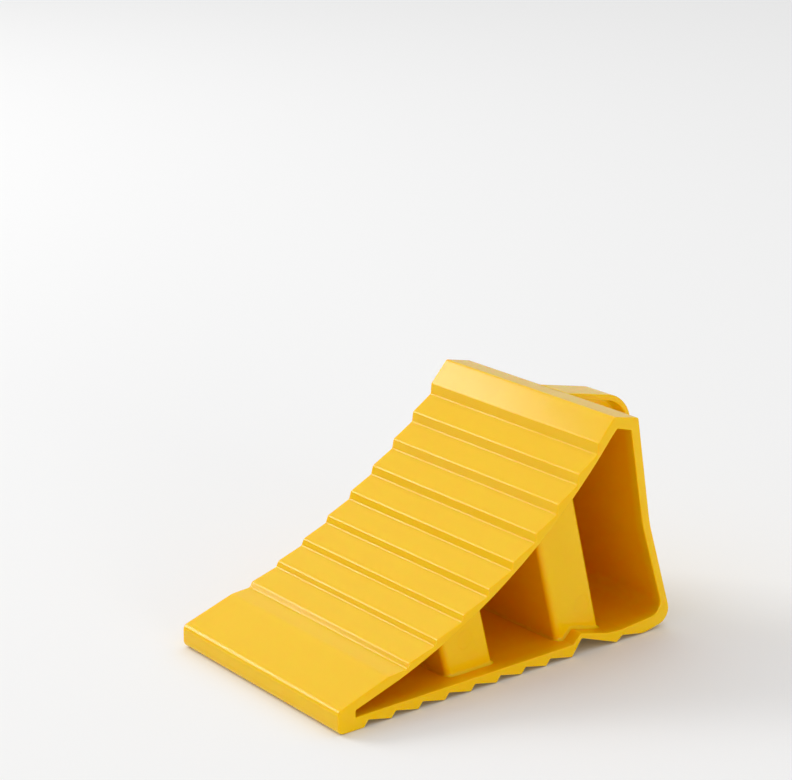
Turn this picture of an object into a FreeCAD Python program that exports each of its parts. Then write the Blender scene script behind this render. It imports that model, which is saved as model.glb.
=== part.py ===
import FreeCAD, Part
import math
import os

# A wheel chock moulded in one piece from yellow plastic: a hollow wedge with a stepped,
# tyre-shaped ramp, a toothed base, two box ribs between them and a rimmed handle behind.
# Each named section of the moulding is a solid of its own, and sections meet face to face.
#
# Lengths are millimetres. A station is a distance behind the face of the nose. The part's
# frame has +X from nose to heel, +Z up, and its origin under the middle of the whole length.

# Driving dimensions
LENGTH = 214.2              # nose face to the back of the handle
WIDTH = 120.0
FLOOR_TOP = 6.0             # inside face of the base
TOOTH_HEIGHT = 2.9
BACK_WALL = 4.6             # thickness, measured level

# Ramp: steps whose tips lie on the tyre's circle
TYRE_STATION = -73.0        # centre of the tyre's circle
TYRE_HEIGHT = 293.6
TYRE_RADIUS = 292.6
STEP_COUNT = 9
STEP_FIRST = 22.48          # degrees from straight down, lowest step
STEP_PITCH = 3.285          # degrees
STEP_DEPTH_LOW = 1.8        # from the tips' circle out to the root, lowest step
STEP_DEPTH_HIGH = 3.1       # the same for the highest step
STEP_LEAN = 0.26            # degrees that a root lies in front of its tip, per millimetre of depth
TIP_ROUND = 1.6
ROOT_ROUND = 1.2

# Corners of the side view, as (station, height, rounding radius)
NOSE_SOLE = (0.0, 0.0, 3.5)
NOSE_TOP = (0.0, 11.0, 3.0)
RAMP_BEND = (27.5, 20.0, 12.0)
CREST_FRONT = (156.6, 111.3, 1.5)
CREST_REAR = (171.6, 108.1, 1.2)
BACK_KNEE = (181.1, 55.0, 70.0)
HEEL = (197.6, 3.5, 7.0)
HEEL_CONTACT = (179.6, 0.0, 12.0)
REAR_TOOTH_ROOT = (165.9, 2.6, 1.5)
REAR_TOOTH_TIP = (162.2, 0.0, 0.8)
ARCH_APEX = (139.9, 7.9, 1.5)
ARCH_FOOT = (134.2, 0.0, 0.8)

# Base teeth
TOOTH_COUNT = 9
TOOTH_FIRST = 14.2          # station of the first tooth's tip
TOOTH_PITCH = 14.87
TOOTH_RUN = 2.4             # length of a tooth's steep rear face
TOOTH_ROUND = 0.8

# Inside of the wedge, where the ramp's underside is an arc through three points
POCKET_TIP = 9.8            # station where the hollow starts
POCKET_TIP_LOW = (POCKET_TIP, FLOOR_TOP, 0.4)
POCKET_TIP_HIGH = (POCKET_TIP, 9.2, 0.6)
UNDERSIDE_START = (33.3, 16.7)
UNDERSIDE_MIDDLE = (95.2, 48.0)
UNDERSIDE_END = (155.0, 101.7)
CREST_INNER_FRONT = (158.5, 105.3, 1.0)
CREST_INNER_REAR = (167.3, 102.9, 1.2)
KNEE_INNER = (BACK_KNEE[0] - BACK_WALL, BACK_KNEE[1], 60.0)
HEEL_INNER = (191.9, 7.8, 6.0)
FLOOR_REAR = (166.0, 5.7, 4.0)
FLOOR_DIP = (157.3, 6.1, 4.0)
FLOOR_APEX = (139.3, 10.5, 2.5)
FLOOR_RISE = (134.6, FLOOR_TOP, 1.5)

# Box ribs
RIB_WIDTH = 26.6            # along the base
RIB_FOOT_FRONT = 66.7       # station of the front rib's front wall, at the floor
RIB_FOOT_REAR = 131.7
RIB_LEAN = 14.4             # degrees that a rib leans towards the nose
RIB_WALL = 3.5
RIB_RECESS = 8.0            # from the side of the chock to the face of a rib
RIB_CORNER = 3.0            # radius of a rib's upright corners
FRONT_PIN_MARK = (76.3, 21.6)
REAR_PIN_MARK = (146.6, 20.4)
PIN_MARK_RADIUS = 4.7
PIN_MARK_DEPTH = 0.2

# Handle: a strap for the fingers, with a thin web that closes the middle of its loop
STRAP_THICKNESS = 3.0
STRAP_NEAR = -12.0
STRAP_FAR = 7.5
STRAP_RADIUS = 19.0         # outside of the bend
HANDLE_WEB = 3.0

# Cuts between sections
CUT_CREST = 98.0            # height where the back wall ends and the crest starts
CUT_HEEL = 15.0             # height where the heel ends and the back wall starts
CUT_ABOVE = 8.0             # how far a cut through the ramp reaches above the tips' circle
CUT_BELOW = 9.5             # and below it

NEAR = -WIDTH / 2
FAR = WIDTH / 2
BEYOND = 400.0              # longer than anything in the side view


def vector(point, y=0.0):
    """The place in the part's frame of a (station, height) point."""
    station, height = point
    return FreeCAD.Vector(station - LENGTH / 2, y, height)


def corner(before, point, after, radius):
    """Start, middle and end of the arc that rounds the corner at point."""
    here = vector(point)
    inward = (vector(before) - here).normalize()
    outward = (vector(after) - here).normalize()
    half = inward.getAngle(outward) / 2
    reach = radius / math.tan(half)
    middle = (inward + outward).normalize() * (radius / math.sin(half) - radius)
    return here + inward * reach, here + middle, here + outward * reach


def outline(points):
    """A face in the side view. A point is (station, height), or that and a rounding radius.

    A point may also end with the (station, height) that an arc from the last point passes.
    """
    edges = []
    ends = []
    count = len(points)
    for index, point in enumerate(points):
        radius = point[2] if len(point) > 2 else 0.0
        if radius:
            before = points[index - 1][:2]
            after = points[(index + 1) % count][:2]
            start, middle, end = corner(before, point[:2], after, radius)
            edges.append(Part.Arc(start, middle, end).toShape())
            ends.append((start, end))
        else:
            ends.append((vector(point[:2]), vector(point[:2])))
    for index, point in enumerate(points):
        start = ends[index - 1][1]
        end = ends[index][0]
        if len(point) > 3:
            edges.append(Part.Arc(start, vector(point[3]), end).toShape())
        else:
            edges.append(Part.LineSegment(start, end).toShape())
    return Part.Face(Part.Wire(Part.__sortEdges__(edges)))


def on_tyre(radius, degrees):
    """The point at this distance from the tyre's centre, at this angle from straight down."""
    angle = math.radians(degrees)
    return TYRE_STATION + radius * math.sin(angle), TYRE_HEIGHT - radius * math.cos(angle)


def step_depth(step):
    """Depth of a step, which grows evenly up the ramp. Step 0 is the lowest."""
    return STEP_DEPTH_LOW + (STEP_DEPTH_HIGH - STEP_DEPTH_LOW) * step / (STEP_COUNT - 1)


def tip_angle(step):
    """Angle of a step's tip from straight down."""
    return STEP_FIRST + step * STEP_PITCH


def root_angle(step):
    """Angle of a step's root, a little in front of its tip."""
    return tip_angle(step) - STEP_LEAN * step_depth(step)


def ramp_points():
    """Root and tip of every step, from the nose upwards."""
    points = []
    for step in range(STEP_COUNT):
        points.append(on_tyre(TYRE_RADIUS + step_depth(step), root_angle(step)) + (ROOT_ROUND,))
        points.append(on_tyre(TYRE_RADIUS, tip_angle(step)) + (TIP_ROUND,))
    return points


def tooth_points():
    """Tip and root of every base tooth, from the nose backwards. The last tip starts the arch."""
    points = []
    for tooth in range(TOOTH_COUNT - 1):
        tip = TOOTH_FIRST + tooth * TOOTH_PITCH
        points.append((tip, 0.0, TOOTH_ROUND))
        points.append((tip + TOOTH_RUN, TOOTH_HEIGHT, TOOTH_ROUND))
    return points


def outside():
    """Side view of the chock, filled, without its handle."""
    points = [NOSE_SOLE]
    points += tooth_points()
    points += [ARCH_FOOT, ARCH_APEX, REAR_TOOTH_TIP, REAR_TOOTH_ROOT, HEEL_CONTACT, HEEL]
    points += [BACK_KNEE, CREST_REAR, CREST_FRONT]
    points += reversed(ramp_points())
    points += [RAMP_BEND, NOSE_TOP]
    return outline(points)


def hollow():
    """Side view of the space between ramp, back wall and base."""
    points = [POCKET_TIP_LOW, POCKET_TIP_HIGH]
    points += [UNDERSIDE_START, UNDERSIDE_END + (0.0, UNDERSIDE_MIDDLE)]
    points += [CREST_INNER_FRONT, CREST_INNER_REAR, KNEE_INNER]
    points += [HEEL_INNER, FLOOR_REAR, FLOOR_DIP, FLOOR_APEX, FLOOR_RISE]
    return outline(points)


def handle():
    """Side views of the handle's strap and of the space that the strap goes round.

    The strap runs straight from the crest, bends round and comes back to the wall.
    """
    slope = math.atan2(CREST_FRONT[1] - CREST_REAR[1], CREST_REAR[0] - CREST_FRONT[0])
    centre = LENGTH - STRAP_RADIUS
    crest_line = CREST_REAR[1] - (centre - CREST_REAR[0]) * math.tan(slope)
    height = crest_line - STRAP_RADIUS / math.cos(slope)
    root = CREST_REAR[0] - STRAP_THICKNESS
    faces = []
    for radius in (STRAP_RADIUS, STRAP_RADIUS - STRAP_THICKNESS):
        bend = (centre + radius * math.sin(slope), height + radius * math.cos(slope))
        start = (root, bend[1] + (bend[0] - root) * math.tan(slope))
        lowest = (centre, height - radius, 0.0, (centre + radius, height))
        faces.append(outline([start, bend, lowest, (root, height - radius)]))
    return faces[0].cut(faces[1]), faces[1]


def band(left, right):
    """Everything between two lines that lean as the ribs do, given by their floor stations."""
    shift = math.tan(math.radians(RIB_LEAN))
    low = FLOOR_TOP - BEYOND
    high = FLOOR_TOP + BEYOND
    return outline([
        (left + BEYOND * shift, low),
        (right + BEYOND * shift, low),
        (right - BEYOND * shift, high),
        (left - BEYOND * shift, high),
    ])


def box(left, low, right, high):
    """A rectangle in the side view."""
    return outline([(left, low), (right, low), (right, high), (left, high)])


def sector(start, end):
    """Everything near the ramp between two lines from the tyre's centre, at these angles."""
    above = TYRE_RADIUS - CUT_ABOVE
    below = TYRE_RADIUS + CUT_BELOW
    return outline([on_tyre(above, start), on_tyre(below, start), on_tyre(below, end), on_tyre(above, end)])


def extrude(face, near, far):
    """The solid that a side view sweeps from near to far across the width."""
    moved = face.copy()
    moved.translate(FreeCAD.Vector(0, near, 0))
    solid = moved.extrude(FreeCAD.Vector(0, far - near, 0))
    return solid.removeSplitter()


def save(name, shape):
    """Write one section, which is one closed solid."""
    solid = shape.Solids[0]
    if len(shape.Solids) != 1 or not solid.isValid():
        raise ValueError(name + " is not one good solid")
    solid.exportStep("parts/" + name + ".step")
    print(f"{name:24s} {solid.Volume / 1000:7.2f} cm3")
    return solid.Volume


def round_upright(solid, y, towards):
    """Round the upright edge of a rib wall at this y, on the side that x grows towards."""
    edges = []
    for edge in solid.Edges:
        ends = [vertex.Point for vertex in edge.Vertexes]
        if len(ends) == 2 and all(abs(end.y - y) < 1e-6 for end in ends):
            rise = ends[0] - ends[1]
            if abs(abs(rise.x) - abs(rise.z) * math.tan(math.radians(RIB_LEAN))) < 1e-3:
                edges.append(edge)
    edges.sort(key=lambda edge: towards * edge.CenterOfMass.x)
    return solid.makeFillet(RIB_CORNER, [edges[-1]])


def shell_sections(outer, inner):
    """The outer ring of the moulding, cut into its named sections."""
    ring = outer.cut(inner)
    first_root = root_angle(0)
    last_root = root_angle(STEP_COUNT - 1)
    arch_start = ARCH_FOOT[0]
    arch_end = REAR_TOOTH_TIP[0]
    floor_line = FLOOR_TOP + 1.0
    regions = {}
    regions["nose"] = box(-BEYOND, -BEYOND, POCKET_TIP, BEYOND)
    regions["toe_ramp"] = outline([
        (POCKET_TIP, floor_line),
        on_tyre(TYRE_RADIUS + CUT_BELOW, first_root),
        on_tyre(TYRE_RADIUS - CUT_ABOVE, first_root),
        (POCKET_TIP, BEYOND),
    ])
    for step in range(STEP_COUNT - 1):
        regions[f"tread_bar_{step + 1}"] = sector(root_angle(step), root_angle(step + 1))
    regions["crest"] = outline([
        on_tyre(TYRE_RADIUS - CUT_ABOVE, last_root),
        on_tyre(TYRE_RADIUS + CUT_BELOW, last_root),
        (CREST_INNER_FRONT[0], CUT_CREST),
        (LENGTH, CUT_CREST),
        (LENGTH, BEYOND),
        (0.0, BEYOND),
    ])
    regions["back_wall"] = box(CREST_INNER_FRONT[0], CUT_HEEL, LENGTH, CUT_CREST)
    regions["heel"] = box(HEEL_CONTACT[0], -BEYOND, LENGTH, CUT_HEEL)
    regions["rear_sole"] = box(arch_end, -BEYOND, HEEL_CONTACT[0], CUT_HEEL)
    regions["base_arch"] = box(arch_start, -BEYOND, arch_end, CUT_HEEL)
    regions["base_plate"] = box(POCKET_TIP, -BEYOND, arch_start, floor_line)
    return {name: extrude(ring.common(region), NEAR, FAR) for name, region in regions.items()}


def rib_sections(name, foot, inner, mark):
    """Front wall, rear wall and face of one box rib, which is open on the far side."""
    wall = RIB_WALL / math.cos(math.radians(RIB_LEAN))
    face_near = NEAR + RIB_RECESS
    wall_far = FAR - RIB_RECESS
    back = foot + RIB_WIDTH
    front_wall = extrude(inner.common(band(foot, foot + wall)), face_near, wall_far)
    rear_wall = extrude(inner.common(band(back - wall, back)), face_near, wall_far)
    middle = extrude(inner.common(band(foot + wall, back - wall)), face_near, face_near + RIB_WALL)
    pin = Part.makeCylinder(PIN_MARK_RADIUS, PIN_MARK_DEPTH, vector(mark, face_near), FreeCAD.Vector(0, 1, 0))
    return {
        name + "_front_wall": round_upright(front_wall, face_near, -1),
        name + "_rear_wall": round_upright(rear_wall, face_near, 1),
        name + "_face": middle.cut(pin),
    }


def pocket_ends(inner):
    """The walls that close the three pockets near the far side."""
    far = FAR - RIB_RECESS
    spans = {
        "nose_pocket_end": (-BEYOND, RIB_FOOT_FRONT),
        "middle_pocket_end": (RIB_FOOT_FRONT + RIB_WIDTH, RIB_FOOT_REAR),
        "rear_pocket_end": (RIB_FOOT_REAR + RIB_WIDTH, BEYOND),
    }
    ends = {}
    for name, (left, right) in spans.items():
        ends[name] = extrude(inner.common(band(left, right)), far - RIB_WALL, far)
    return ends


def main():
    os.makedirs("parts", exist_ok=True)
    outer = outside()
    inner = hollow()
    sections = shell_sections(outer, inner)
    sections.update(rib_sections("front_rib", RIB_FOOT_FRONT, inner, FRONT_PIN_MARK))
    sections.update(rib_sections("rear_rib", RIB_FOOT_REAR, inner, REAR_PIN_MARK))
    sections.update(pocket_ends(inner))
    strap, loop = handle()
    middle = (STRAP_NEAR + STRAP_FAR) / 2
    sections["handle_strap"] = extrude(strap.cut(outer), STRAP_NEAR, STRAP_FAR)
    sections["handle_web"] = extrude(loop.cut(outer), middle - HANDLE_WEB / 2, middle + HANDLE_WEB / 2)
    total = sum(save(name, shape) for name, shape in sections.items())
    print(f"{len(sections)} sections, {total / 1000:.1f} cm3 of plastic")


main()
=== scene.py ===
# %% [markdown]
# # A moulded wheel chock
#
# The object is a hollow yellow wedge that stops a wheel from rolling. It is moulded in one piece, so
# its looks are those of plastic that ran into one mould: walls that flow into each other through small
# fillets, edges that are never quite sharp, and light that soaks into the surface.
#
# The CAD frame holds the walls as plain sections. This lesson builds the moulded surface that takes
# their place: a shell, the folded web inside it, and a handle with a rim and a thin plate.
#
# All lengths are millimetres until a mesh is made. A station is a distance behind the nose.

# %% Load the CAD frame
import math

import bmesh
import bpy
import numpy as np
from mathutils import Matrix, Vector
from mathutils.geometry import tessellate_polygon


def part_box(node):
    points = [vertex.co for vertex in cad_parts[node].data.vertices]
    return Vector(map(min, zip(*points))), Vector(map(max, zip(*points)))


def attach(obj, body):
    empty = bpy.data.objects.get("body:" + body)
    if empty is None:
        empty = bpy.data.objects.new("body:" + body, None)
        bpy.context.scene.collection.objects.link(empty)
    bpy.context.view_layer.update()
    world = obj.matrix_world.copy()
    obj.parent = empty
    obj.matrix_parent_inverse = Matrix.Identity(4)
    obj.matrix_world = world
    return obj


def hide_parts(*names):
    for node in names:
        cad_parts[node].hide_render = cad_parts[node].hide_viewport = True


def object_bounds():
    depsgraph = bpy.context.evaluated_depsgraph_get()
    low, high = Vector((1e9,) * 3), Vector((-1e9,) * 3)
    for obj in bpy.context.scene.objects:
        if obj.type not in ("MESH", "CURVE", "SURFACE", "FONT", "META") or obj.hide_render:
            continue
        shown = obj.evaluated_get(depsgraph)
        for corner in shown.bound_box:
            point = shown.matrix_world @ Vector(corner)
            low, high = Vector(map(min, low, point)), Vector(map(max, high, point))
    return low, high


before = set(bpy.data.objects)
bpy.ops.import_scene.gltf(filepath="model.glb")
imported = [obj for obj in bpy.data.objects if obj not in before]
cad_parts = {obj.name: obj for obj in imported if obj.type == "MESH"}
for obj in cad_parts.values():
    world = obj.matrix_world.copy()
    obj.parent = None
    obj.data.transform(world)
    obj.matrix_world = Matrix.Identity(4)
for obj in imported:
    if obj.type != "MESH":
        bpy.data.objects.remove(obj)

low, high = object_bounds()
MM = 0.001
LENGTH, WIDTH, HEIGHT = (high - low) / MM
print(f"CAD box {LENGTH:.1f} x {WIDTH:.1f} x {HEIGHT:.1f} mm, {len(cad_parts)} sections")

# %% [markdown]
# ## Outlines with rounded corners
#
# Almost everything on a side-pulled moulding is one side view carried across the width. A side view
# could be drawn as a curve object, but a plain array of points is easier to offset and to join, so a
# polygon is written with a radius at each corner and an arc is worked out for all corners at once.

# %% Round every corner of a closed outline
SAME_POINT = 1e-5


def unit(vectors):
    """Each row divided by its length: v / |v|."""
    return vectors / np.maximum(np.linalg.norm(vectors, axis=-1, keepdims=True), 1e-12)


def rounded(corners, steps=6):
    """Points round a closed outline, from rows of (station, height, radius).

    With unit vectors a and b towards the two neighbours and h half the angle between them, the arc's
    centre lies r / sin(h) from the corner along a + b, and the arc starts and ends r / tan(h) from the
    corner along a and b. Points between them turn from one spoke to the other at an even rate.
    """
    corners = np.array(corners, float)
    here = corners[:, :2]
    radius = corners[:, 2:]
    behind = unit(np.roll(here, 1, axis=0) - here)
    ahead = unit(np.roll(here, -1, axis=0) - here)
    half = np.arccos(np.clip(np.sum(behind * ahead, axis=1, keepdims=True), -1, 1)) / 2
    centre = here + unit(behind + ahead) * radius / np.sin(half)
    first_spoke = here + behind * radius / np.tan(half) - centre
    last_spoke = here + ahead * radius / np.tan(half) - centre
    turn = np.maximum(math.pi - 2 * half, 1e-6)[:, None]
    share = np.linspace(0, 1, steps + 1)[None, :, None]
    first_part = np.sin((1 - share) * turn) * first_spoke[:, None]
    last_part = np.sin(share * turn) * last_spoke[:, None]
    points = (centre[:, None] + (first_part + last_part) / np.sin(turn)).reshape(-1, 2)
    gap = np.linalg.norm(points - np.roll(points, 1, axis=0), axis=1)
    return points[gap > SAME_POINT]


def arc_through(start, middle, end, count):
    """Evenly spaced points on the circle through three points, as corners with no rounding.

    The centre c is where |p|^2 - 2 p.c is the same for all three points, which is two linear equations.
    """
    three = np.array([start, middle, end], float)
    centre = np.linalg.solve(2 * (three[1:] - three[0]), np.sum(three[1:] ** 2 - three[0] ** 2, axis=1))
    spokes = three - centre
    angles = np.arctan2(spokes[[0, 2], 1], spokes[[0, 2], 0])
    angle = np.linspace(angles[0], angles[1], count)
    points = centre + np.linalg.norm(spokes[0]) * np.stack([np.cos(angle), np.sin(angle)], axis=1)
    return np.column_stack([points, np.zeros(count)]).tolist()


def outward(loop):
    """Unit normals of a closed outline that runs anticlockwise, halfway between its two edges' normals."""
    along = unit(np.roll(loop, -1, axis=0) - loop)
    side = np.stack([along[:, 1], -along[:, 0]], axis=1)
    return unit(side + np.roll(side, 1, axis=0))


square = rounded([[0.0, 0.0, 2.0], [9.0, 0.0, 2.0], [9.0, 9.0, 2.0], [0.0, 9.0, 2.0]])
print(f"a square with rounded corners has {len(square)} points")

# %% [markdown]
# ## The side view
#
# The ramp follows a tyre: every step's tip lies on one circle, and every root a little further out,
# turned back by a fraction of a degree so that the riser leans. The steps get deeper up the ramp. One
# loop over them gives the whole ramp. The base repeats a saw tooth, steep at its rear so that it bites
# when the wheel pushes. The hollow inside is a second outline. A corner is written as its station, its
# height and its rounding radius.

# %% Outline of the outside
TYRE_CENTRE = np.array([-73.0, 293.6])
TYRE_RADIUS = 292.6
STEP_COUNT = 9
STEP_FIRST = 22.48      # degrees from straight down, lowest step
STEP_PITCH = 3.285      # degrees
STEP_DEPTHS = np.linspace(1.8, 3.1, STEP_COUNT)
STEP_LEAN = 0.26        # degrees for each millimetre of depth
TIP_ROUND = 1.6
ROOT_ROUND = 1.2
TOOTH_COUNT = 8
TOOTH_FIRST = 14.2
TOOTH_PITCH = 14.87
TOOTH_RUN = 2.4         # length of the steep rear face
TOOTH_HEIGHT = 2.9
TOOTH_ROUND = 0.8
NOSE_SOLE = [0.0, 0.0, 3.5]
NOSE_TOP = [0.0, 11.0, 3.0]
RAMP_BEND = [27.5, 20.0, 12.0]
CREST_FRONT = [156.6, 111.3, 1.5]
CREST_REAR = [171.6, 108.1, 1.2]
BACK_KNEE = [181.1, 55.0, 70.0]
HEEL = [197.6, 3.5, 7.0]
HEEL_CONTACT = [179.6, 0.0, 12.0]
REAR_TOOTH_ROOT = [165.9, 2.6, 1.5]
REAR_TOOTH_TIP = [162.2, 0.0, TOOTH_ROUND]
ARCH_APEX = [139.9, 7.9, 1.5]
ARCH_FOOT = [134.2, 0.0, TOOTH_ROUND]


def on_tyre(radius, degrees):
    """The point at this distance from the tyre's centre, at this angle from straight down."""
    angle = math.radians(degrees)
    return TYRE_CENTRE + radius * np.array([math.sin(angle), -math.cos(angle)])


ramp = []
for step, depth in enumerate(STEP_DEPTHS):
    tip_angle = STEP_FIRST + step * STEP_PITCH
    ramp.append([*on_tyre(TYRE_RADIUS + depth, tip_angle - STEP_LEAN * depth), ROOT_ROUND])
    ramp.append([*on_tyre(TYRE_RADIUS, tip_angle), TIP_ROUND])

teeth = []
for tooth in range(TOOTH_COUNT):
    tip = TOOTH_FIRST + tooth * TOOTH_PITCH
    teeth.append([tip, 0.0, TOOTH_ROUND])
    teeth.append([tip + TOOTH_RUN, TOOTH_HEIGHT, TOOTH_ROUND])

base = [NOSE_SOLE] + teeth + [ARCH_FOOT, ARCH_APEX, REAR_TOOTH_TIP, REAR_TOOTH_ROOT, HEEL_CONTACT, HEEL]
top = [BACK_KNEE, CREST_REAR, CREST_FRONT] + ramp[::-1] + [RAMP_BEND, NOSE_TOP]
outside = rounded(base + top)
print(f"outside: {len(outside)} points, {outside[:, 0].max():.1f} long, {outside[:, 1].max():.1f} high")

# %% Outline of the hollow
FLOOR_TOP = 6.0
POCKET_TIP = 9.8        # station where the hollow starts
POCKET_TIP_HIGH = 9.2
UNDERSIDE = ((33.3, 16.7), (95.2, 48.0), (155.0, 101.7))
CREST_INNER_FRONT = [158.5, 105.3, 1.0]
CREST_INNER_REAR = [167.3, 102.9, 1.2]
KNEE_INNER = [176.5, 55.0, 60.0]
HEEL_INNER = [191.9, 7.8, 6.0]
FLOOR_REAR = [166.0, 5.7, 4.0]
FLOOR_DIP = [157.3, 6.1, 4.0]
FLOOR_APEX = [139.3, 10.5, 2.5]
FLOOR_RISE = [134.6, FLOOR_TOP, 1.5]

ceiling = arc_through(*UNDERSIDE, 60) + [CREST_INNER_FRONT, CREST_INNER_REAR]
floor_line = [[POCKET_TIP, FLOOR_TOP, 0.4], FLOOR_RISE, FLOOR_APEX, FLOOR_DIP, FLOOR_REAR]
hollow = rounded(floor_line + [HEEL_INNER, KNEE_INNER] + ceiling[::-1] + [[POCKET_TIP, POCKET_TIP_HIGH, 0.6]])
print(f"hollow: {len(hollow)} points")

# %% [markdown]
# ## From arrays to a mesh
#
# A surface here is a grid: rows times columns of points, where the columns go round an outline and the
# rows go along it. The quads between them are index arithmetic. Flat faces with holes are filled with
# triangles. Face-weighted normals keep the large flats flat right up to their fillets.

# %% Mesh helpers
def ring_quads(rows, columns, first=0):
    """Quads of a grid whose columns wrap round, with vertices numbered row by row."""
    row, column = np.meshgrid(np.arange(rows - 1), np.arange(columns), indexing="ij")
    here = first + row * columns + column
    beside = first + row * columns + (column + 1) % columns
    return np.stack([here, beside, beside + columns, here + columns], axis=-1).reshape(-1, 4).tolist()


def fill(loops, numbers):
    """Triangles that fill the area between flat loops, as the numbers of their vertices."""
    vectors = [[Vector((a, b, 0.0)) for a, b in loop] for loop in loops]
    return [[numbers[corner] for corner in triangle] for triangle in tessellate_polygon(vectors)]


def make_piece(name, points, faces, replaced, material, painted_glow_share=0.0):
    """A closed, smooth mesh object in metres from points in millimetres behind the nose.

    The mask attribute is 1 at points that line the hollow, 0 on the outside, and may be between. It places
    the painted orange glow of the hollow.
    """
    mesh = bpy.data.meshes.new(name)
    places = (points - np.array([LENGTH / 2, 0, 0])) * MM
    mesh.from_pydata(places.tolist(), [], faces)
    # The mask for the hollow's painted orange glow.
    glow_mask = mesh.attributes.new("painted_glow_share", "FLOAT", "POINT")
    glow_mask.data.foreach_set("value", np.broadcast_to(painted_glow_share, len(points)).astype(np.float32))
    shape = bmesh.new()
    shape.from_mesh(mesh)
    bmesh.ops.remove_doubles(shape, verts=shape.verts, dist=1e-7)
    bmesh.ops.recalc_face_normals(shape, faces=shape.faces)
    shape.to_mesh(mesh)
    open_edges = sum(1 for edge in shape.edges if len(edge.link_faces) != 2)
    shape.free()
    mesh.polygons.foreach_set("use_smooth", np.ones(len(mesh.polygons), bool))
    mesh.materials.append(material)
    piece = bpy.data.objects.new(name, mesh)
    bpy.context.scene.collection.objects.link(piece)
    weighted = piece.modifiers.new("face weighted normals", "WEIGHTED_NORMAL")
    weighted.keep_sharp = True
    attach(piece, "root")
    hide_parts(*replaced)
    print(f"{name}: {len(mesh.polygons)} faces, {open_edges} open edges")


print(f"a tube of 3 rings with 8 points each has {len(ring_quads(3, 8))} quads")

# %% [markdown]
# ## The plastic
#
# The chock is taken to be polypropylene, coloured right through. It is not opaque: red light travels
# about a millimetre in it between scatterings, green half as far, blue hardly at all. Subsurface
# scattering takes one length for each colour. A little light even crosses the walls, and loses more
# green than red on its way, so the hollow glows orange although the outside is a clean yellow. Lengths
# that carry light that far also tint thin edges and the feet of the ribs green and pink, so here that
# glow is painted instead: the lining of the hollow takes a deeper orange base colour, a painted glow
# that stands in for the light. A painted mask would be the other way to place it, but one number per
# point and the distance from the mouth say it exactly. The mould is taken to be spark-eroded, which
# leaves a satin skin with a fine grain, and slow cooling leaves faint waves that bend the reflections.

# %% Colour and node helpers
def linear(code):
    """Scene-linear RGBA of an sRGB hex colour."""
    values = np.array([int(code[place:place + 2], 16) for place in (1, 3, 5)]) / 255
    low_part = values / 12.92
    high_part = ((values + 0.055) / 1.055) ** 2.4
    return (*np.where(values <= 0.04045, low_part, high_part).tolist(), 1.0)


def add_node(tree, kind, settings=None, values=None, links=None):
    """A node with its properties, its constant inputs and its links from other nodes' outputs."""
    node = tree.nodes.new(kind)
    for key, value in (settings or {}).items():
        setattr(node, key, value)
    for key, value in (values or {}).items():
        node.inputs[key].default_value = value
    for key, source in (links or {}).items():
        tree.links.new(source, node.inputs[key])
    return node


print(f"middle grey #808080 is {linear('#808080')[0]:.3f} in linear light")

# %% Yellow polypropylene
MOTTLE = 30.0       # mm, slow changes of colour from the melt's flow
WAVE = 14.0         # mm, cooling waves
GRAIN = 0.7         # mm, spark-eroded grain, drawn coarser than the real 0.1 mm so that it shows
MOUTH = 60.0        # mm from the middle, where the painted orange glow of the hollow starts
DEEP = 54.0         # mm from the middle, where it is full
YELLOW_LOW = "#F1C103"
YELLOW_HIGH = "#F4C606"
# Painted glow: the orange that light takes on in the hollow, painted into the base colour of its lining.
PAINTED_GLOW_ORANGE = "#FCAC00"


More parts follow.
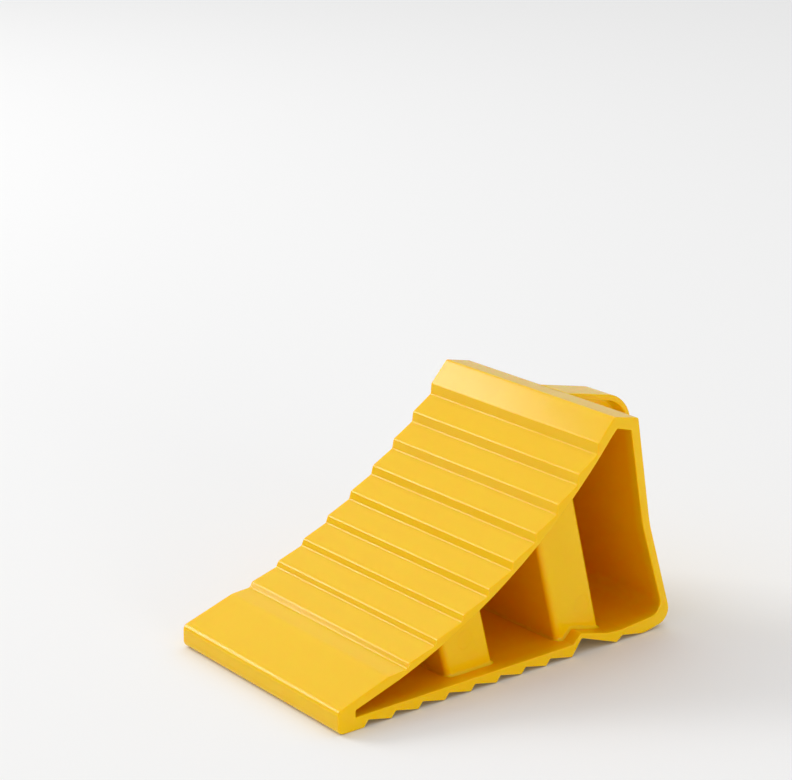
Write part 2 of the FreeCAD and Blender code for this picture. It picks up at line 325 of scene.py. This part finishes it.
def yellow_polypropylene():
    """Self-coloured semi-gloss plastic: satin highlight, soft depth, and an orange glow painted into the
    hollow.

    The share of the painted glow colour is the mask attribute times (MOUTH - |y|) / (MOUTH - DEEP), held
    within 0 and 1.
    """
    material = bpy.data.materials.new("yellow_polypropylene")
    material.use_nodes = True
    tree = material.node_tree
    tree.nodes.clear()
    place = add_node(tree, "ShaderNodeTexCoord").outputs["Object"]
    noises = {}
    for name, size, detail in (("mottle", MOTTLE, 3.0), ("wave", WAVE, 1.0), ("grain", GRAIN, 2.0)):
        values = {"Scale": 1 / (size * MM), "Detail": detail}
        noises[name] = add_node(tree, "ShaderNodeTexNoise", values=values, links={"Vector": place})
    colour = add_node(tree, "ShaderNodeMix", {"data_type": "RGBA"}, links={0: noises["mottle"].outputs[0]})
    colour.inputs[6].default_value = linear(YELLOW_LOW)
    colour.inputs[7].default_value = linear(YELLOW_HIGH)
    split = add_node(tree, "ShaderNodeSeparateXYZ", links={"Vector": place})
    aside = add_node(tree, "ShaderNodeMath", {"operation": "ABSOLUTE"}, links={0: split.outputs["Y"]})
    inwards = add_node(
        tree, "ShaderNodeMapRange",
        values={"From Min": MOUTH * MM, "From Max": DEEP * MM},
        links={"Value": aside.outputs[0]},
    )
    # Painted glow: the lining of the hollow takes a deeper orange base colour in place of the light it picks
    # up there.
    glow_mask = add_node(tree, "ShaderNodeAttribute", {"attribute_name": "painted_glow_share"})
    depth = add_node(
        tree, "ShaderNodeMath", {"operation": "MULTIPLY"},
        links={0: inwards.outputs[0], 1: glow_mask.outputs["Fac"]},
    )
    painted_glow = add_node(
        tree, "ShaderNodeMix", {"data_type": "RGBA"},
        links={0: depth.outputs[0], 6: colour.outputs[2]},
    )
    painted_glow.inputs[7].default_value = linear(PAINTED_GLOW_ORANGE)
    satin = add_node(
        tree, "ShaderNodeMapRange",
        values={"To Min": 0.12, "To Max": 0.18},
        links={"Value": noises["mottle"].outputs[0]},
    )
    waves = add_node(
        tree, "ShaderNodeBump",
        values={"Strength": 0.5, "Distance": 0.15 * MM},
        links={"Height": noises["wave"].outputs[0]},
    )
    skin = add_node(
        tree, "ShaderNodeBump",
        values={"Strength": 0.4, "Distance": 0.02 * MM},
        links={"Height": noises["grain"].outputs[0], "Normal": waves.outputs[0]},
    )
    shader = add_node(
        tree, "ShaderNodeBsdfPrincipled",
        values={
            "IOR": 1.49,
            "Subsurface Weight": 1.0,
            "Subsurface Radius": (1.0, 0.5, 0.15),
            "Subsurface Scale": 1.0 * MM,
            "Specular IOR Level": 0.25,
        },
        links={"Base Color": painted_glow.outputs[2], "Roughness": satin.outputs[0], "Normal": skin.outputs[0]},
    )
    add_node(tree, "ShaderNodeOutputMaterial", links={"Surface": shader.outputs[0]})
    return material


plastic = yellow_polypropylene()
print(f"material {plastic.name}: {len(plastic.node_tree.nodes)} nodes")

# %% [markdown]
# ## The shell
#
# The ramp, crest, back wall, heel and base are one continuous ring. It is the outside carried across
# the width, with the hollow running right through. At both sides the ring's edges are rounded: a few
# rows that step inwards as they near the side. A Bevel modifier could do this, but it would also cut
# into the small fillets of the steps.

# %% Build the shell
EDGE_ROUND = 0.5
MOUTH_ROUND = 0.6
EDGE_STEPS = 4


def across(loop, sign, radius):
    """The loop carried across the width, with a quarter circle of this radius at each end.

    For a from 90 degrees to 0, a row stands radius * (1 - sin(a)) from the side, and its loop is moved
    by radius * (1 - cos(a)) against its normals if sign is 1, or along them if it is -1. The far half
    mirrors the near half.
    """
    angle = np.linspace(math.pi / 2, 0, EDGE_STEPS + 1)
    inset = radius * (1 - np.cos(angle))
    depth = -WIDTH / 2 + radius * (1 - np.sin(angle))
    inset = np.concatenate([inset, inset[::-1]])
    depth = np.concatenate([depth, -depth[::-1]])
    moved = loop[None] - sign * outward(loop)[None] * inset[:, None, None]
    wide = np.broadcast_to(depth[:, None], moved.shape[:2])
    return np.stack([moved[..., 0], wide, moved[..., 1]], axis=-1)


outer_rows = across(outside, 1, EDGE_ROUND)
inner_rows = across(hollow, -1, MOUTH_ROUND)
row_count = len(outer_rows)
shell_points = np.concatenate([outer_rows.reshape(-1, 3), inner_rows.reshape(-1, 3)])
shell_faces = ring_quads(row_count, len(outside))
shell_faces += ring_quads(row_count, len(hollow), row_count * len(outside))
for row in (0, row_count - 1):
    outer_numbers = row * len(outside) + np.arange(len(outside))
    inner_numbers = row_count * len(outside) + row * len(hollow) + np.arange(len(hollow))
    rims = [outer_rows[row][:, [0, 2]], inner_rows[row][:, [0, 2]]]
    shell_faces += fill(rims, np.concatenate([outer_numbers, inner_numbers]).tolist())
shell_nodes = ["nose", "toe_ramp", "crest", "back_wall", "heel", "rear_sole", "base_arch", "base_plate"]
shell_nodes += [f"tread_bar_{number}" for number in range(1, STEP_COUNT)]
# Points that line the hollow get the painted orange glow.
shell_glow_mask = np.arange(len(shell_points)) >= row_count * len(outside)
make_piece("shell", shell_points, shell_faces, shell_nodes, plastic, shell_glow_mask)

# %% [markdown]
# ## The folded web
#
# Inside the shell stands one wall that folds back and forth like a fence: closed towards the near side
# at the two ribs, closed towards the far side at the three pockets. Cores pulled from both sides leave
# exactly this. It leans towards the nose. A box with booleans would need every fillet cut afterwards,
# while a plan outline carried upwards has them built in: where the wall nears the floor or the ramp it
# spreads by a quarter circle, as the plastic does in the mould's corner.

# %% Plan outline of the web
WALL = 3.5
RIB_LEAN = math.tan(math.radians(14.4))
LEVEL_WALL = WALL * math.hypot(1, RIB_LEAN)
RIB_WIDTH = 26.6
RIB_FEET = (66.7, 131.7)
PLATE = WIDTH / 2 - 8.0         # the faces stand 8 mm inside the shell's sides
WEB_START = 8.8                 # inside the solid nose
WEB_END = 200.0                 # stretched to the back wall afterwards
CORE_ROUND = 3.0
INNER_ROUND = 1.0

near_line = [[WEB_START, PLATE - WALL, 0.0]]
far_line = [[WEB_START, PLATE, 0.0]]
for foot in RIB_FEET:
    heel_side = foot + RIB_WIDTH
    near_line += [[foot, PLATE - WALL, INNER_ROUND], [foot, -PLATE, CORE_ROUND]]
    near_line += [[heel_side, -PLATE, CORE_ROUND], [heel_side, PLATE - WALL, INNER_ROUND]]
    far_line += [[foot + LEVEL_WALL, PLATE, CORE_ROUND], [foot + LEVEL_WALL, WALL - PLATE, INNER_ROUND]]
    far_line.append([heel_side - LEVEL_WALL, WALL - PLATE, INNER_ROUND])
    far_line.append([heel_side - LEVEL_WALL, PLATE, CORE_ROUND])
near_line.append([WEB_END, PLATE - WALL, 0.0])
far_line.append([WEB_END, PLATE, 0.0])
plan = rounded(near_line + far_line[::-1])
print(f"web plan: {len(plan)} points")

# %% Carry the plan upwards between floor and ceiling
FILLET = 1.2
BURIED = 0.5            # how far the web's edges go into the shell
FINE = 0.5              # spacing of points along the rib faces
COARSE = 5.0            # and elsewhere
WALL_ROWS = 130         # rows between the lower and the upper fillet
FACE_LIMIT = 0.01 - PLATE       # a point nearer than this lies on a rib's face
BEHIND = 300.0          # a station well behind the chock
BELOW = -9.0            # a height well below it
CREST_END = 66.0        # height of the crest's inside, if it went on as far as BEHIND

# The back wall's inside as stations and heights, carried on past both ends
BACK_CORNERS = [HEEL_INNER[:2], KNEE_INNER[:2], CREST_INNER_REAR[:2]]
BACK_INSIDE = np.array([[194.4, 0.0]] + BACK_CORNERS + [[161.8, 130.0]])


def divided(loop, fine, coarse):
    """The closed loop with extra points, so that near faces have steps of fine and others of coarse."""
    parts = []
    for start, end in zip(loop, np.roll(loop, -1, axis=0)):
        spacing = fine if max(start[1], end[1]) < FACE_LIMIT else coarse
        count = max(1, math.ceil(np.linalg.norm(end - start) / spacing))
        share = np.arange(count)[:, None] / count
        parts.append(start + (end - start) * share)
    return np.concatenate(parts)


def readable(corners):
    """A line with rounded corners, sorted by station, that heights can be read off.

    Corners are rounded on closed outlines, so the line is closed below the chock and opened again.
    """
    curve = rounded(corners + [[BEHIND, BELOW, 0.0], [0.0, BELOW, 0.0]])
    part = curve[(curve[:, 0] < BEHIND) & (curve[:, 1] > BELOW)]
    return part[np.argsort(part[:, 0], kind="stable")]


floor_part = readable([[0.0, FLOOR_TOP, 0.0]] + floor_line + [[BEHIND, HEEL_INNER[1], 0.0]])
ceiling_start = [[0.0, FLOOR_TOP, 0.0], [POCKET_TIP, POCKET_TIP_HIGH, 0.0]]
ceiling_part = readable(ceiling_start + ceiling + [[BEHIND, CREST_END, 0.0]])


def floor_at(station):
    """Height of the hollow's floor, between the points of its line."""
    return np.interp(station, floor_part[:, 0], floor_part[:, 1])


def ceiling_at(station):
    """Height of the ramp's underside, between the points of its line."""
    return np.interp(station, ceiling_part[:, 0], ceiling_part[:, 1])


def back_at(height):
    """Station of the back wall's inside, plus the buried part."""
    return BURIED + np.interp(height, BACK_INSIDE[:, 1], BACK_INSIDE[:, 0])


def lean(station, height):
    """Where a plan station stands at a height: station - (height - floor) * tan(lean).

    Behind the last rib the stretch up to WEB_END is scaled so that it ends in the back wall.
    """
    last = RIB_FEET[-1] + RIB_WIDTH
    shifted = station - (height - FLOOR_TOP) * RIB_LEAN
    root = last - (height - FLOOR_TOP) * RIB_LEAN
    share = np.clip((station - last) / (WEB_END - last), 0, 1)
    stretched = root + (back_at(height) - root) * share
    return np.where(station > last, stretched, shifted)


plan = divided(plan, FINE, COARSE)
plan_normals = outward(plan)
quarter = np.linspace(0, 1, 6) ** 1.5       # closer together where the fillet is steep
foot_rise = np.concatenate([[-BURIED], FILLET * quarter])
between = np.linspace(0, 1, WALL_ROWS + 2)[1:-1]
spread = np.concatenate([[FILLET], FILLET - np.sqrt(FILLET ** 2 - (FILLET - foot_rise[1:]) ** 2)])
spread = np.concatenate([spread, np.zeros(len(between)), spread[::-1]])[:, None]

# The wall's foot and head depend on its station, which depends on the height, so they are found in rounds.
base_height = np.full(len(plan), FLOOR_TOP)
roof_height = ceiling_at(plan[:, 0])
for settling in range(12):
    base_height = floor_at(lean(plan[:, 0], base_height))
    roof_height = ceiling_at(lean(plan[:, 0], roof_height))
lower = base_height[None] + foot_rise[:, None]
upper = roof_height[None] - foot_rise[::-1, None]
middle = lower[-1] + (upper[0] - lower[-1]) * between[:, None]
height_rows = np.concatenate([lower, middle, upper])
wall_rows = lean(plan[None, :, 0], height_rows)
station_rows = wall_rows + plan_normals[None, :, 0] * spread
width_rows = plan[None, :, 1] + plan_normals[None, :, 1] * spread

# A fillet's edge that stands to one side of its wall follows the slope of the floor or the ramp.
floor_change = floor_at(station_rows) - floor_at(wall_rows)
ceiling_change = ceiling_at(station_rows) - ceiling_at(wall_rows)
is_upper = np.arange(len(height_rows))[:, None] > len(height_rows) / 2
height_rows = height_rows + np.where(is_upper, ceiling_change, floor_change)
print(f"web: {height_rows.shape[0]} rows of {height_rows.shape[1]} points")

# %% Press the ejector marks into the rib faces
PIN_RADIUS = 4.7
PIN_DEPTH = 0.2
PINS = ((76.3, 21.6), (146.6, 20.4))    # station and height of a mark's middle

on_face = np.broadcast_to(plan[:, 1] < FACE_LIMIT, station_rows.shape)
for pin_station, pin_height in PINS:
    distance = np.hypot(station_rows - pin_station, height_rows - pin_height)
    press = np.clip((PIN_RADIUS - distance) / FINE, 0, 1)
    width_rows = width_rows + np.where(on_face, PIN_DEPTH * press, 0)
web_points = np.stack([station_rows, width_rows, height_rows], axis=-1)
rows, columns = station_rows.shape
web_faces = ring_quads(rows, columns)
for row in (0, rows - 1):
    web_faces += fill([plan], (row * columns + np.arange(columns)).tolist())
web_nodes = [f"{rib}_rib_{part}" for rib in ("front", "rear") for part in ("front_wall", "rear_wall", "face")]
web_nodes += ["nose_pocket_end", "middle_pocket_end", "rear_pocket_end"]
# The web's hollow side, from the rib faces inwards, gets the painted orange glow.
web_glow_mask = np.clip((PLATE - np.abs(web_points[..., 1])) / CORE_ROUND, 0, 1).reshape(-1)
make_piece("folded_web", web_points.reshape(-1, 3), web_faces, web_nodes, plastic, web_glow_mask)

# %% [markdown]
# ## The handle
#
# A flat strap leaves the crest in line with its sloping top, bends round and comes back to the wall.
# It is a rounded rectangle carried along that path, its edges softened by the mould. A thin web closes
# the middle of the loop, because two cores meet there, and spreads into the strap with a cove.

# %% The strap's path and section
STRAP_THICKNESS = 3.0
STRAP_RADIUS = 19.0         # outside of the bend
STRAP_EDGE = 1.0            # rounding of the strap's long edges
STRAP_BURIED = 1.5          # how far the strap's ends go into the shell
BEND_STEPS = 40
RUN_STEPS = 11
strap_low, strap_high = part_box("handle_strap")
strap_half = (strap_high.y - strap_low.y) / 2 / MM
strap_middle = (strap_high.y + strap_low.y) / 2 / MM
crest_rear = np.array(CREST_REAR[:2])
along_top = unit(crest_rear - CREST_FRONT[:2])
top_facing = np.array([-along_top[1], along_top[0]])
slope = math.atan2(top_facing[0], top_facing[1])
bend_station = LENGTH - STRAP_RADIUS
crest_line = crest_rear + along_top * (bend_station - crest_rear[0]) / along_top[0]
bend_centre = crest_line - [0.0, STRAP_RADIUS / math.cos(slope)]


def strap_path(radius, bury):
    """Points and outward directions along the loop, from the crest round the bend to the wall.

    A straight run whose direction is the crest's normal, an arc that turns the direction through the
    rear to straight down, and a straight run back to the wall. Both ends go on inside the moulding.
    """
    turn = np.linspace(math.pi / 2 - slope, -math.pi / 2, BEND_STEPS)
    facing = np.stack([np.cos(turn), np.sin(turn)], axis=1)
    bend = bend_centre + radius * facing
    top_start = crest_rear - along_top * bury - top_facing * (STRAP_RADIUS - radius)
    wall_heights = [BACK_KNEE[1], CREST_REAR[1]]
    wall_station = np.interp(bend[-1, 1], wall_heights, [BACK_KNEE[0], CREST_REAR[0]]) - bury
    share = np.linspace(0, 1, RUN_STEPS + 1)[:-1, None]
    top = top_start + (bend[0] - top_start) * share
    bottom = np.array([wall_station, bend[-1, 1]])
    bottom = bend[-1] + (bottom - bend[-1]) * (1 - share[::-1])
    points = np.concatenate([top, bend, bottom])
    ends = [np.tile(facing[end], (RUN_STEPS, 1)) for end in (0, -1)]
    return points, np.concatenate([ends[0], facing, ends[1]])


path, facing = strap_path(STRAP_RADIUS, STRAP_BURIED)
section = rounded([
    [-strap_half, -STRAP_THICKNESS, STRAP_EDGE],
    [strap_half, -STRAP_THICKNESS, STRAP_EDGE],
    [strap_half, 0.0, STRAP_EDGE],
    [-strap_half, 0.0, STRAP_EDGE],
])
strap_side = path[:, None] + facing[:, None] * section[None, :, 1:]
strap_width = np.broadcast_to(section[None, :, 0] + strap_middle, strap_side.shape[:2])
strap_points = np.stack([strap_side[..., 0], strap_width, strap_side[..., 1]], axis=-1)
strap_faces = ring_quads(len(path), len(section))
for row in (0, len(path) - 1):
    strap_faces.append((row * len(section) + np.arange(len(section))).tolist())
make_piece("handle_rim", strap_points.reshape(-1, 3), strap_faces, ["handle_strap"], plastic)

# %% The plate that closes the loop
PLATE_HALF = 1.5            # half the plate's thickness
PLATE_COVE = 1.5            # radius of the cove that runs out into the strap
PLATE_BURIED = 1.0          # how far the plate's edge goes into the strap and the wall
loop_path = strap_path(STRAP_RADIUS - STRAP_THICKNESS, PLATE_BURIED)[0]
loop = rounded(np.column_stack([loop_path, np.zeros(len(loop_path))])[::-1].tolist())
cove = np.linspace(0, math.pi / 2, 7)
inset = np.concatenate([[-PLATE_BURIED], PLATE_COVE * (1 - np.cos(cove))])
rise = np.concatenate([[PLATE_COVE], PLATE_COVE * (1 - np.sin(cove))]) + PLATE_HALF
inset = np.concatenate([inset[::-1], inset])
rise = np.concatenate([-rise[::-1], rise])
plate_side = loop[None] - outward(loop)[None] * inset[:, None, None]
plate_width = np.broadcast_to(rise[:, None] + strap_middle, plate_side.shape[:2])
plate_points = np.stack([plate_side[..., 0], plate_width, plate_side[..., 1]], axis=-1)
plate_faces = ring_quads(len(rise), len(loop))
for row in (0, len(rise) - 1):
    plate_faces += fill([plate_side[row]], (row * len(loop) + np.arange(len(loop))).tolist())
make_piece("handle_plate", plate_points.reshape(-1, 3), plate_faces, ["handle_web"], plastic)

# %% [markdown]
# ## Studio
#
# A pale floor fills the frame. A dome of light is brighter overhead and dimmer in front of the open side,
# so that the pockets keep their depth. A large soft box behind the chock's far side grazes the ramp and
# draws the thin highlights along the steps. A low soft box in front brightens the faces of the open side
# but hardly reaches the pockets' floors.

# %% Floor and light
FLOOR_HALF = 30.0           # metres
FLOOR_GAP = 1e-4            # metres
DOME_HORIZON = 0.40
DOME_ZENITH = 1.56
DOME_FRONT = 0.40
LAMP_AIM = Vector((0.0, 0.0, 0.06))


def pale_floor():
    """A wide plane a hair under the chock, painted matt off-white."""
    mesh = bpy.data.meshes.new("studio_floor")
    signs = ((-1, -1), (1, -1), (1, 1), (-1, 1))
    corners = [(FLOOR_HALF * x, FLOOR_HALF * y, -FLOOR_GAP) for x, y in signs]
    mesh.from_pydata(corners, [], [(0, 1, 2, 3)])
    paint = bpy.data.materials.new("matt_floor_paint")
    paint.use_nodes = True
    shader = paint.node_tree.nodes["Principled BSDF"]
    shader.inputs["Base Color"].default_value = linear("#F1F1F1")
    shader.inputs["Roughness"].default_value = 0.9
    shader.inputs["Specular IOR Level"].default_value = 0.0
    mesh.materials.append(paint)
    floor = bpy.data.objects.new("studio_floor", mesh)
    bpy.context.scene.collection.objects.link(floor)


def direction(azimuth, elevation):
    """Unit vector towards a place round the chock: (sin a cos e, -cos a cos e, sin e).

    The azimuth is 0 in front of the open side and 90 behind the heel.
    """
    a = math.radians(azimuth)
    e = math.radians(elevation)
    return Vector((math.sin(a) * math.cos(e), -math.cos(a) * math.cos(e), math.sin(e)))


def soft_box(name, azimuth, elevation, distance, size, power):
    """A flat lamp that faces the chock from this direction, with its size and distance in metres."""
    light = bpy.data.lights.new(name, "AREA")
    light.shape = "RECTANGLE"
    light.size = size[0]
    light.size_y = size[1]
    light.energy = power
    lamp = bpy.data.objects.new(name, light)
    towards = direction(azimuth, elevation)
    lamp.location = LAMP_AIM + towards * distance
    lamp.rotation_mode = "QUATERNION"
    lamp.rotation_quaternion = towards.to_track_quat("Z", "Y")
    bpy.context.scene.collection.objects.link(lamp)


def studio_dome(horizon, zenith, front):
    """White surroundings, brighter upwards and dimmer in front of the open side.

    In a direction (x, y, z) the strength is horizon + (zenith - horizon) * z, or horizon where z is
    below 0, times a factor that falls from 1 where y is 1, on the chock's far side, to front where y is -1.
    """
    world = bpy.data.worlds.new("studio_dome")
    world.use_nodes = True
    tree = world.node_tree
    tree.nodes.clear()
    place = add_node(tree, "ShaderNodeTexCoord").outputs["Generated"]
    split = add_node(tree, "ShaderNodeSeparateXYZ", links={"Vector": place})
    upwards = add_node(
        tree, "ShaderNodeMapRange",
        values={"To Min": horizon, "To Max": zenith},
        links={"Value": split.outputs["Z"]},
    )
    backwards = add_node(
        tree, "ShaderNodeMapRange",
        values={"From Min": -1.0, "To Min": front, "To Max": 1.0},
        links={"Value": split.outputs["Y"]},
    )
    strength = add_node(
        tree, "ShaderNodeMath", {"operation": "MULTIPLY"},
        links={0: upwards.outputs[0], 1: backwards.outputs[0]},
    )
    glow = add_node(
        tree, "ShaderNodeBackground",
        values={"Color": linear("#FFFFFF")},
        links={"Strength": strength.outputs[0]},
    )
    add_node(tree, "ShaderNodeOutputWorld", links={"Surface": glow.outputs[0]})
    bpy.context.scene.world = world


studio_dome(DOME_HORIZON, DOME_ZENITH, DOME_FRONT)
pale_floor()
soft_box("rear_box", 207.0, 27.0, 3.0, (1.3, 1.15), 34.0)
soft_box("side_box", -8.0, 5.0, 3.0, (1.6, 0.6), 27.0)
bpy.context.scene.view_settings.view_transform = "Standard"
lamps = [item.name for item in bpy.context.scene.objects if item.type == "LIGHT"]
print("lamps:", ", ".join(lamps))

# %% Camera
CAMERA_AZIMUTH = -38.07
CAMERA_ELEVATION = 16.89
CAMERA_DISTANCE = 1.045
CAMERA_AIM = Vector((0.00125, 0.0384, 0.1096))
camera_data = bpy.data.cameras.new("camera")
camera_data.lens = 100.8
camera_data.sensor_width = 36.0
camera = bpy.data.objects.new("camera", camera_data)
towards_camera = direction(CAMERA_AZIMUTH, CAMERA_ELEVATION)
camera.location = CAMERA_AIM + towards_camera * CAMERA_DISTANCE
camera.rotation_mode = "QUATERNION"
camera.rotation_quaternion = (-towards_camera).to_track_quat("-Z", "Y")
bpy.context.scene.collection.objects.link(camera)
bpy.context.scene.camera = camera
print("camera at", tuple(round(value, 3) for value in camera.location))
